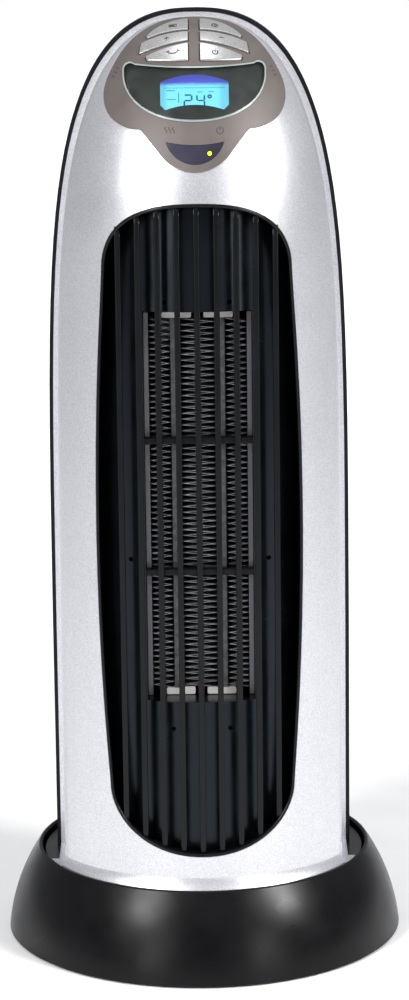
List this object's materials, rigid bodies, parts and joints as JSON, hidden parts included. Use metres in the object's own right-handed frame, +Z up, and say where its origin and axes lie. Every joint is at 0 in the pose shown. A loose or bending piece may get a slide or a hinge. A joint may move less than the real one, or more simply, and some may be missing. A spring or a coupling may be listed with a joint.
{
  "type": "ceramic space heater",
  "caption": "Oscillating ceramic tower heater with an arched shell, ribbed outlet grille, crown controls and display, on a flared round base.",
  "frame": {"origin": "on the floor, on the axis that the tower swings about, at the centre of the base circle", "axes": "+Z up along the swing axis; the outlet grille and controls face -Y; +X is to the right seen from the front"},
  "size_m": [0.24, 0.24, 0.5592],
  "materials": {
    "silver_plastic": "pearl silver paint",
    "black_gloss": "gloss",
    "black_satin": "satin",
    "panel_grey": "satin",
    "key_silver": "satin silver",
    "smoked_glass": "gloss",
    "bezel_grey": "gloss",
    "mask_grey": "matte",
    "lcd": "lit",
    "receiver_dark": "gloss",
    "led_green": "lit",
    "fin_aluminium": "mill",
    "ptc_bar": "satin",
    "ceramic_white": "matte",
    "rail_grey": "satin",
    "steel": "zinc",
    "brass_tab": "plain",
    "rubber": "matte",
    "acetal": "satin",
    "board_green": "satin",
    "lead_sheath": "satin",
    "filter_mesh": "mesh",
    "motor_cap": "satin"
  },
  "bodies": {
    "base": {"base_shell": "black_gloss", "base_plate": "black_satin", "base_feet": "rubber", "base_screws": "steel", "cord_gland": "black_satin", "tilt_switch_body": "black_satin", "osc_sector": "acetal", "swivel_washer": "acetal"},
    "tower": {"turntable": "black_gloss", "hub_retainer": "black_satin", "retainer_screws": "steel", "front_shell": "silver_plastic", "rear_cover": "black_gloss", "grip_cup": "black_gloss", "cover_screws": "steel", "intake_grille": "black_satin", "intake_filter": "filter_mesh", "front_grille": "black_satin", "outlet_duct": "black_satin", "duct_crossbars": "black_satin", "heater_fins_left": "fin_aluminium", "heater_fins_centre": "fin_aluminium", "heater_fins_right": "fin_aluminium", "ptc_bar_left": "ptc_bar", "ptc_bar_right": "ptc_bar", "ptc_insulators": "ceramic_white", "heater_rails": "rail_grey", "heater_terminals": "brass_tab", "thermal_cutout": "motor_cap", "blower_housing": "black_satin", "fan_motor": "motor_cap", "motor_bracket": "steel", "top_bearing": "acetal", "osc_motor": "motor_cap", "control_panel": "panel_grey", "display_bezel": "bezel_grey", "display_mask": "mask_grey", "lcd_screen": "lcd", "display_lens": "smoked_glass", "ir_window": "receiver_dark", "power_led": "led_green", "control_pcb": "board_green", "tact_switches": "black_satin", "power_board": "board_green", "main_switch_housing": "black_satin", "heater_lead": "lead_sheath", "fan_lead": "lead_sheath"},
    "impeller": {"impeller": "black_satin", "impeller_shaft": "steel"},
    "tilt_plunger": {"tilt_plunger": "acetal"},
    "osc_pinion": {"osc_pinion": "acetal"},
    "rocker": {"rocker": "black_gloss"},
    "button_mode": {"button_mode": "key_silver"},
    "button_time": {"button_time": "key_silver"},
    "button_plus": {"button_plus": "key_silver"},
    "button_minus": {"button_minus": "key_silver"},
    "button_osc": {"button_osc": "key_silver"},
    "button_power": {"button_power": "key_silver"}
  },
  "joints": [
    {"name": "swivel", "type": "hinge", "parent": "base", "child": "tower", "pos_m": [0, 0, 0.0463], "axis": [0, 0, 1], "range_deg": [-35, 35]},
    {"name": "pinion_spin", "type": "hinge", "parent": "tower", "child": "osc_pinion", "pos_m": [0, 0.05115, 0.035], "axis": [0, 0, 1], "range_deg": [-165, 165]},
    {"name": "impeller_spin", "type": "hinge", "parent": "tower", "child": "impeller", "pos_m": [0, 0.018, 0.28], "axis": [0, 0, 1], "continuous": true},
    {"name": "rocker_tilt", "type": "hinge", "parent": "tower", "child": "rocker", "pos_m": [0, 0.0815, 0.085], "axis": [1, 0, 0], "range_deg": [-24, 0]},
    {"name": "tilt_plunger_slide", "type": "slide", "parent": "base", "child": "tilt_plunger", "axis": [0, 0, 1], "range_m": [-0.006, 0.001], "stiffness_N_per_m": 150, "springref_m": -0.012},
    {"name": "button_mode_press", "type": "slide", "parent": "tower", "child": "button_mode", "axis": [0, 0.53, -0.848], "range_m": [0, 0.0012], "stiffness_N_per_m": 300, "springref_m": -0.0005},
    {"name": "button_time_press", "type": "slide", "parent": "tower", "child": "button_time", "axis": [0, 0.53, -0.848], "range_m": [0, 0.0012], "stiffness_N_per_m": 300, "springref_m": -0.0005},
    {"name": "button_plus_press", "type": "slide", "parent": "tower", "child": "button_plus", "axis": [0, 0.53, -0.848], "range_m": [0, 0.0012], "stiffness_N_per_m": 300, "springref_m": -0.0005},
    {"name": "button_minus_press", "type": "slide", "parent": "tower", "child": "button_minus", "axis": [0, 0.53, -0.848], "range_m": [0, 0.0012], "stiffness_N_per_m": 300, "springref_m": -0.0005},
    {"name": "button_osc_press", "type": "slide", "parent": "tower", "child": "button_osc", "axis": [0, 0.53, -0.848], "range_m": [0, 0.0012], "stiffness_N_per_m": 300, "springref_m": -0.0005},
    {"name": "button_power_press", "type": "slide", "parent": "tower", "child": "button_power", "axis": [0, 0.53, -0.848], "range_m": [0, 0.0012], "stiffness_N_per_m": 300, "springref_m": -0.0005}
  ],
  "couplings": [
    {"joint": "pinion_spin", "follows": "swivel", "ratio": 4.6667}
  ]
}
